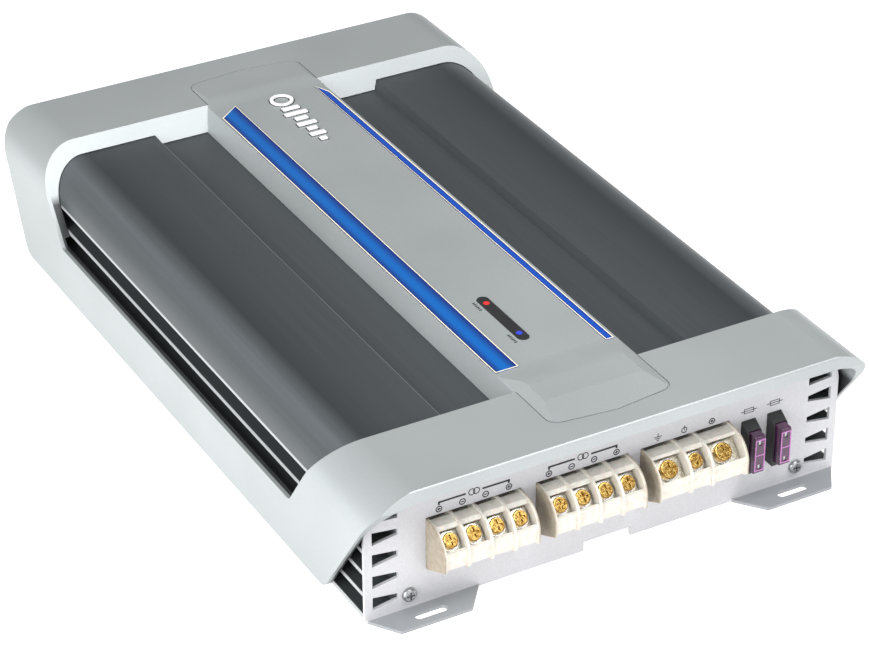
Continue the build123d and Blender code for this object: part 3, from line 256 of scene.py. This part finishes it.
def ivory_nylon(node):
    """Ivory moulded nylon, with end walls that look tan where light gets into them."""
    low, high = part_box(node)
    material, tree, place = blank("ivory_nylon_" + node)
    split = add(tree, "SeparateXYZ", {"Vector": place})
    middle = add(tree, "Math", {0: split.outputs["X"], 1: (low.x + high.x) / 2}, operation="SUBTRACT")
    side = add(tree, "Math", {0: middle.outputs[0]}, operation="ABSOLUTE")
    half = (high.x - low.x) / 2
    wall = add(tree, "MapRange", {"Value": side.outputs[0], "From Min": half - TAN_WALL[0] * MM,
                                  "From Max": half - TAN_WALL[1] * MM})
    cloud = add(tree, "TexNoise", {"Vector": place, "Scale": 1 / (2.5 * MM), "Detail": 3.0})
    body = add(tree, "ValToRGB", {"Fac": cloud.outputs[0]}, ramp=((0.35, "#C4C0B6"), (0.65, "#D2CEC5")))
    tan = add(tree, "ValToRGB", {"Fac": cloud.outputs[0]}, ramp=((0.35, "#8E8473"), (0.65, "#A29887")))
    tint = add(tree, "MixRGB", {"Fac": wall.outputs[0], "Color1": body.outputs[0], "Color2": tan.outputs[0]})
    gloss = add(tree, "MapRange", {"Value": cloud.outputs[0], "To Min": 0.34, "To Max": 0.46})
    relief = add(tree, "Bump", {"Height": cloud.outputs[0], "Distance": 0.02 * MM, "Strength": 1.0})
    surface(tree, tint.outputs[0], {"Roughness": gloss.outputs[0], "Normal": relief.outputs[0],
                                    "Subsurface Weight": 0.15, "Subsurface Scale": 0.002})
    return material


def lamp_plastic():
    """Two lamps in one moulding: red towards the input end, blue towards the terminals."""
    low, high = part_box("indicator_lamps")
    material, tree, place = blank("indicator_lamp_plastic")
    split = add(tree, "SeparateXYZ", {"Vector": place})
    end = add(tree, "MapRange", {"Value": split.outputs["Y"], "From Min": low.y, "From Max": high.y})
    tint = add(tree, "ValToRGB", {"Fac": end.outputs[0]}, ramp=((0.45, "#1238C8"), (0.55, "#D8231E")))
    cloud = add(tree, "TexNoise", {"Vector": place, "Scale": 1 / (0.8 * MM)})
    gloss = add(tree, "MapRange", {"Value": cloud.outputs[0], "To Min": 0.12, "To Max": 0.2})
    surface(tree, tint.outputs[0], {"Roughness": gloss.outputs[0], "Coat Weight": 0.5,
                                    "Emission Color": "#401010", "Emission Strength": 0.3})
    return material


def fuse_plastic():
    """Clear violet polycarbonate of a blade fuse, cloudy towards its edges."""
    material, tree, place = blank("violet_fuse_polycarbonate")
    cloud = add(tree, "TexNoise", {"Vector": place, "Scale": 1 / (3 * MM), "Detail": 2.0})
    tint = add(tree, "ValToRGB", {"Fac": cloud.outputs[0]}, ramp=((0.3, "#3E1A3C"), (0.7, "#5E2C5A")))
    gloss = add(tree, "MapRange", {"Value": cloud.outputs[0], "To Min": 0.12, "To Max": 0.22})
    surface(tree, tint.outputs[0], {"Roughness": gloss.outputs[0], "Transmission Weight": 0.35, "IOR": 1.58,
                                    "Coat Weight": 0.3})
    return material


cad_finishes = {
    "heatsink": anodised_extrusion(), "bottom_cover": zinc_steel, "front_end_plate": panel_coat(),
    "rear_end_plate": panel_coat(), "shroud": satin_silver_paint(),
    "accent_strip_wide": blue_inlay("blue_acrylic_wide", "accent_strip_wide", "#075AA6", "#10105E"),
    "accent_strip_narrow": blue_inlay("blue_acrylic_narrow", "accent_strip_narrow", "#1148A8", "#10145E"),
    "indicator_lens": smoked_window, "indicator_lamps": lamp_plastic(), "badge": badge_painted_reflection,
    "case_screws": zinc_steel, "circuit_board": green_board, "toroid_transformers": copper_winding,
    "filter_capacitors": shrink_sleeve, "output_coils": copper_winding, "power_transistors": black_nylon,
    "insulator_strips": grey_pad, "clamp_bars": zinc_steel,
    "speaker_block_left": ivory_nylon("speaker_block_left"),
    "speaker_block_right": ivory_nylon("speaker_block_right"), "power_block": ivory_nylon("power_block"),
    "terminal_contacts": bright_nickel, "fuse_holders": black_nylon, "fuse_clips": tin_plate,
    "input_block": black_nylon, "input_shells": gold_plate, "control_pots": zinc_steel,
    "switch_bodies": black_nylon}
by_start = {
    "clamp_washer": nickel_washer, "terminal_screw": gold_plate, "fuse_body": fuse_plastic(),
    "fuse_blades": tin_plate, "control_knob": black_nylon, "switch_slider": black_nylon}
for node_name, shown in nodes.items():
    chosen = cad_finishes.get(node_name) or by_start[node_name.rstrip("0123456789_")]
    shown.data.materials.clear()
    shown.data.materials.append(chosen)


# ---------------------------------------------------------------- mesh helpers
def piece(name, bm, material, body="chassis"):
    """A finished bmesh as an object that rides on a body."""
    bmesh.ops.recalc_face_normals(bm, faces=bm.faces[:])
    mesh = bpy.data.meshes.new(name)
    bm.to_mesh(mesh)
    bm.free()
    mesh.materials.append(material)
    made = bpy.data.objects.new(name, mesh)
    bpy.context.scene.collection.objects.link(made)
    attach(made, body)
    return made


def slab(bm, low, high):
    """A block between two corners, in mm."""
    low, high = Vector(low) * MM, Vector(high) * MM
    place = Matrix.Translation((low + high) / 2) @ Matrix.Diagonal((*(high - low), 1))
    bmesh.ops.create_cube(bm, size=1, matrix=place)


def hoop(bm, middle, axis, radius, width, deep, steps=32):
    """A flat ring: a small rectangle spun about an axis; middle is on its back face, in mm."""
    axis = Vector(axis)
    out = axis.orthogonal().normalized()
    corners = [(radius, 0), (radius, deep), (radius - width, deep), (radius - width, 0)]
    points = [bm.verts.new((Vector(middle) + out * a + axis * b) * MM) for a, b in corners]
    edges = [bm.edges.new((points[i - 1], points[i])) for i in range(4)]
    bmesh.ops.spin(bm, geom=points + edges, cent=Vector(middle) * MM, axis=axis, angle=math.tau,
                   steps=steps, use_merge=True)


# ---------------------------------------------------------------- printed legends on the terminal panel
front_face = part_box("heatsink")[0].y / MM - PLATE_STAND
rear_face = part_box("heatsink")[1].y / MM + PLATE_STAND
STROKE = 0.9                     # width of the bracket lines
MARK = 1.6                       # radius of the polarity circles
MARK_RISE = 3.2                  # middle of those circles, above a speaker block
LINE_RISE = 7.0                  # top of the bracket line, above a speaker block
LEG_GAP = 0.4                    # between a circle and the bracket's leg
BRACKET_GAP = 4                  # half the gap that holds the bracket's two rings
POWER_RISE = 3.4                 # middle of the marks above the power block
EARTH_BARS = (2.0, 1.3, 0.6)     # half widths of the earth sign's bars, from the top
EARTH_STEP = 0.9
EARTH_RISE = 4.0                 # underside of the top bar
THIN = 0.4                       # width of the lines in the power marks
FUSE_SIGN = (2.6, 44.6, 46.8)    # half width, and the two heights, of a fuse sign's box
FUSE_LINE = 0.35                 # width of its lines
FUSE_LEAD = (4.2, 45.7)          # half length and height of its lead


def front_bar(bm, x0, x1, z0, z1):
    """A printed bar on the terminal panel."""
    slab(bm, (x0, front_face - PRINT, z0), (x1, front_face, z1))


def polarity(bm, x, z, positive):
    """A circle with a plus or a minus."""
    hoop(bm, (x, front_face, z), (0, -1, 0), MARK, 0.5, PRINT)
    front_bar(bm, x - 0.75, x + 0.75, z - 0.25, z + 0.25)
    if positive:
        front_bar(bm, x - 0.25, x + 0.25, z - 0.75, z + 0.75)


def cell_places(first, count):
    """Middle of each terminal cell in X, from the screws, in mm."""
    boxes = [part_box(f"terminal_screw_{first + i:02d}") for i in range(count)]
    return [(low.x + high.x) / 2 / MM for low, high in boxes]


legend = bmesh.new()
for block, first in (("speaker_block_left", 1), ("speaker_block_right", 5)):
    places = cell_places(first, 4)
    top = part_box(block)[1].z / MM
    mark_z, line_z = top + MARK_RISE, top + LINE_RISE
    for index, x in enumerate(places):
        polarity(legend, x, mark_z, index in (0, 3))
    for x in (places[0], places[3]):
        front_bar(legend, x - STROKE / 2, x + STROKE / 2, mark_z + MARK + LEG_GAP, line_z)
    middle = (places[0] + places[3]) / 2
    front_bar(legend, places[0] - STROKE / 2, middle - BRACKET_GAP, line_z - STROKE, line_z)
    front_bar(legend, middle + BRACKET_GAP, places[3] + STROKE / 2, line_z - STROKE, line_z)
    for way in (-1, 1):
        hoop(legend, (middle + way * 1.1, front_face, line_z - STROKE / 2), (0, -1, 0), 1.7, 0.45, PRINT)
earth_x, remote_x, supply_x = cell_places(9, 3)
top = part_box("power_block")[1].z / MM
for step, half in enumerate(EARTH_BARS):
    bar_z = top + EARTH_RISE - step * EARTH_STEP
    front_bar(legend, earth_x - half, earth_x + half, bar_z, bar_z + THIN)
front_bar(legend, earth_x - THIN / 2, earth_x + THIN / 2, top + EARTH_RISE + THIN, top + 6.0)
hoop(legend, (remote_x, front_face, top + POWER_RISE), (0, -1, 0), 1.5, THIN, PRINT)
front_bar(legend, remote_x - THIN / 2, remote_x + THIN / 2, top + 3.2, top + 5.6)
polarity(legend, supply_x, top + POWER_RISE, True)
sign_half, sign_low, sign_high = FUSE_SIGN
lead_half, lead_z = FUSE_LEAD
for number in (1, 2):
    low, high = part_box(f"fuse_body_{number}")
    x = (low.x + high.x) / 2 / MM
    for z in (sign_low, sign_high):
        front_bar(legend, x - sign_half, x + sign_half, z, z + FUSE_LINE)
    for edge in (-sign_half, sign_half - FUSE_LINE):
        front_bar(legend, x + edge, x + edge + FUSE_LINE, sign_low, sign_high + FUSE_LINE)
    front_bar(legend, x - lead_half, x + lead_half, lead_z, lead_z + FUSE_LINE)
piece("terminal_panel_print", legend, ink_and_painted_shadow)

# ---------------------------------------------------------------- borders round the inlays
STRIP_CUT = 9                    # how much shorter each strip's outer edge is
BORDER = 0.55                    # width of the border
BORDER_DEEP = 0.12
border = bmesh.new()
for node_name, outer_is_low in (("accent_strip_wide", True), ("accent_strip_narrow", False)):
    low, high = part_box(node_name)
    outer, inner = (low.x, high.x) if outer_is_low else (high.x, low.x)
    corners = ((outer, low.y), (inner, low.y), (inner, high.y), (outer, high.y - STRIP_CUT * MM))
    face = border.faces.new([border.verts.new((x, y, high.z)) for x, y in corners])
    face.normal_update()         # a face without a normal doesn't inset
    bmesh.ops.inset_individual(border, faces=[face], thickness=BORDER * MM)
    bmesh.ops.delete(border, geom=[face], context="FACES_ONLY")
    middle, reach = (low.x + high.x) / 2, high.x - low.x
    own_faces = [f for f in border.faces if abs(f.calc_center_median().x - middle) < reach]
    raised = bmesh.ops.extrude_face_region(border, geom=own_faces)
    bmesh.ops.translate(border, vec=(0, 0, BORDER_DEEP * MM),
                        verts=[v for v in raised["geom"] if isinstance(v, bmesh.types.BMVert)])
piece("inlay_borders", border, ivory_edge)

# ---------------------------------------------------------------- painted shadow under the emblem
SHADOW_MARGIN = 0.55                   # how far it shows round the emblem
SHADOW_DEEP = 0.1
SHADOW_LIFT = 0.02              # above the underside of the emblem
EMBLEM_X = 4.0
RING_RADIUS = 6.0
RING_WIDTH = 1.8
BARS = (9.0, 12.0, 6.5, 10.0, 5.0, 8.0, 3.5)
BAR_HALF = 1.4                   # half a bar's width
BAR_START = 10.0                 # the first bar's distance from the ring's middle
BAR_PITCH = 6.0
low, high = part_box("badge")
ring_at = Vector((EMBLEM_X, high.y / MM - RING_RADIUS, low.z / MM + SHADOW_LIFT))
emblem_shadow = bmesh.new()
hoop(emblem_shadow, ring_at, (0, 0, 1), RING_RADIUS + SHADOW_MARGIN, RING_WIDTH + 2 * SHADOW_MARGIN, SHADOW_DEEP, 48)
for index, tall in enumerate(BARS):
    y = ring_at.y - BAR_START - BAR_PITCH * index
    slab(emblem_shadow, (EMBLEM_X - tall / 2 - SHADOW_MARGIN, y - BAR_HALF - SHADOW_MARGIN, ring_at.z),
         (EMBLEM_X + tall / 2 + SHADOW_MARGIN, y + BAR_HALF + SHADOW_MARGIN, ring_at.z + SHADOW_DEEP))
# a dark sheet under the emblem as painted shadow
piece("emblem_painted_shadow", emblem_shadow, ink_and_painted_shadow)

# ---------------------------------------------------------------- painted edge highlights and test points on the fuses
HIGHLIGHT_BAR = 0.5                        # width of the painted highlight bars round a fuse's face
HIGHLIGHT_DEEP = 0.12
HIGHLIGHT_END = 1.5                    # from the fuse's end to its painted highlight
HIGHLIGHT_OUT = 0.05                   # how far the painted highlight overhangs the fuse's sides
POINT_REACH = 6.3                # a test point's distance from the fuse's middle
POINT_HALF = (0.75, 1.35)        # half its width and half its height
POINT_DEPTH = (0.5, 2.3)         # where it begins and ends behind the fuse's face
for number in (1, 2):
    low, high = (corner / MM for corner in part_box(f"fuse_body_{number}"))
    x, z = (low.x + high.x) / 2, (low.z + high.z) / 2
    highlight_bars = bmesh.new()
    for side in (low.x - HIGHLIGHT_OUT, high.x + HIGHLIGHT_OUT - HIGHLIGHT_BAR):
        slab(highlight_bars, (side, low.y - HIGHLIGHT_DEEP, low.z + HIGHLIGHT_END), (side + HIGHLIGHT_BAR, low.y, high.z - HIGHLIGHT_END))
    for end in (low.z + HIGHLIGHT_END, z - HIGHLIGHT_BAR / 2, high.z - HIGHLIGHT_END - HIGHLIGHT_BAR):
        slab(highlight_bars, (low.x + HIGHLIGHT_BAR - HIGHLIGHT_OUT, low.y - HIGHLIGHT_DEEP, end),
             (high.x + HIGHLIGHT_OUT - HIGHLIGHT_BAR, low.y, end + HIGHLIGHT_BAR))
    # the pale violet bars are painted highlights on the fuse's edges
    piece(f"fuse_painted_highlight_{number}", highlight_bars, painted_fuse_highlight, f"fuse_{number}")
    points = bmesh.new()
    for way in (-1, 1):
        middle = z + way * POINT_REACH
        slab(points, (x - POINT_HALF[0], low.y + POINT_DEPTH[0], middle - POINT_HALF[1]),
             (x + POINT_HALF[0], low.y + POINT_DEPTH[1], middle + POINT_HALF[1]))
    piece(f"fuse_test_points_{number}", points, tin_plate, f"fuse_{number}")

# ---------------------------------------------------------------- small marks by the indicator window
LENS_SUNK = 0.9                  # from the underside of the window up to the shroud's top
MARK_TALL = (1.5, 1.1, 1.5, 1.3, 1.5, 1.2)
MARK_PITCH = 1.3
MARK_WIDE = 0.7
MARK_BACK = 4                    # the first mark's distance behind its row's place
MARK_ASIDE = 2.2                 # the rows' distance from the window
low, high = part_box("indicator_lens")
marks = bmesh.new()
shroud_top = low.z / MM + LENS_SUNK
x = low.x / MM - MARK_ASIDE
for y in (high.y / MM - 6, low.y / MM + 4):
    for index, tall in enumerate(MARK_TALL):
        start = y + MARK_PITCH * index - MARK_BACK
        slab(marks, (x - tall / 2, start, shroud_top), (x + tall / 2, start + MARK_WIDE, shroud_top + PRINT))
piece("indicator_print", marks, ink_and_painted_shadow)

# ---------------------------------------------------------------- input end
SOCKET_X = (-84.0, -66.0)
SOCKET_RED_Z = 22.0
SOCKET_WHITE_Z = 40.0
SOCKET_LONG = 9.5                # a socket's end face, from the panel
for colour_name, ring_material, z in (("red", red_ring, SOCKET_RED_Z), ("white", white_ring, SOCKET_WHITE_Z)):
    rings = bmesh.new()
    for x in SOCKET_X:
        hoop(rings, (x, rear_face, z), (0, 1, 0), 6.2, 1.9, 1.2, 48)
        hoop(rings, (x, rear_face + SOCKET_LONG, z), (0, 1, 0), 3.5, 1.7, 0.15, 40)
    piece(f"socket_{colour_name}_insulators", rings, ring_material)

SCALE_TICKS = 11
SCALE_START = -135               # degrees
SCALE_STEP = 27
SCALE_RADIUS = 7.2
TICK = (0.35, 1.6)               # a tick's width and length
scales = bmesh.new()
for number in range(1, 5):
    low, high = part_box(f"control_knob_{number}")
    x, z = (low.x + high.x) / 2 / MM, (low.z + high.z) / 2 / MM
    for step in range(SCALE_TICKS):
        angle = math.radians(SCALE_START + SCALE_STEP * step)
        spot = Vector((x + SCALE_RADIUS * math.sin(angle), rear_face + PRINT / 2,
                       z + SCALE_RADIUS * math.cos(angle))) * MM
        turn = Matrix.Rotation(angle, 4, "Y")
        scale = Matrix.Diagonal((TICK[0] * MM, PRINT * MM, TICK[1] * MM, 1))
        bmesh.ops.create_cube(scales, size=1, matrix=Matrix.Translation(spot) @ turn @ scale)
piece("control_scales", scales, ink_and_painted_shadow)

# ---------------------------------------------------------------- stage, light, camera
floor_mesh = bpy.data.meshes.new("floor")
floor_bm = bmesh.new()
bmesh.ops.create_grid(floor_bm, x_segments=1, y_segments=1, size=4.0)
floor_bm.to_mesh(floor_mesh)
floor_bm.free()
floor = bpy.data.objects.new("floor", floor_mesh)
bpy.context.scene.collection.objects.link(floor)
floor_mesh.materials.append(finish("pale_studio_floor", "#B4B4B4", "#BABABA", 40.0, 0.8, sockets={
    "Emission Color": (1, 1, 1, 1), "Emission Strength": 0.8}))


def area_light(name, place, aim, size, power):
    """A soft box that faces a point."""
    data = bpy.data.lights.new(name, "AREA")
    data.shape = "RECTANGLE"
    data.size, data.size_y = size
    data.energy = power
    lamp = bpy.data.objects.new(name, data)
    lamp.location = place
    lamp.rotation_euler = (Vector(place) - Vector(aim)).to_track_quat("Z", "Y").to_euler()
    bpy.context.scene.collection.objects.link(lamp)


area_light("left_softbox", (-1.6, -0.5, 0.56), (0, 0, 0.03), (1.6, 1.2), 42)
area_light("front_softbox", (0.1, -1.9, 0.7), (0, -0.15, 0.03), (1.8, 1.0), 9)
area_light("top_softbox", (0.2, -0.6, 1.2), (0, -0.1, 0.03), (1.0, 0.8), 18)
world = bpy.data.worlds.new("studio")
world.use_nodes = True
background = world.node_tree.nodes["Background"]
background.inputs["Color"].default_value = linear("#FFFFFF")
background.inputs["Strength"].default_value = 0.35
bpy.context.scene.world = world
bpy.context.scene.view_settings.view_transform = "Standard"

CAMERA_ANGLES = (-28.881, 31.449, -0.257)    # azimuth, elevation and roll, in degrees
CAMERA_PLACE = (-0.5912, -1.0978, 0.7769)    # in metres
azimuth, elevation, roll = map(math.radians, CAMERA_ANGLES)
back = Vector((math.sin(azimuth) * math.cos(elevation), -math.cos(azimuth) * math.cos(elevation),
               math.sin(elevation)))
level = Vector((math.cos(azimuth), math.sin(azimuth), 0))
right = level * math.cos(roll) + back.cross(level) * math.sin(roll)
up = back.cross(right)
camera_data = bpy.data.cameras.new("camera")
camera_data.lens = 127.16
camera_data.sensor_width = 36.0
camera_data.clip_start = 0.05
camera = bpy.data.objects.new("camera", camera_data)
turned = Matrix((right, up, back)).transposed().to_4x4()
camera.matrix_world = Matrix.Translation(CAMERA_PLACE) @ turned
bpy.context.scene.collection.objects.link(camera)
bpy.context.scene.camera = camera
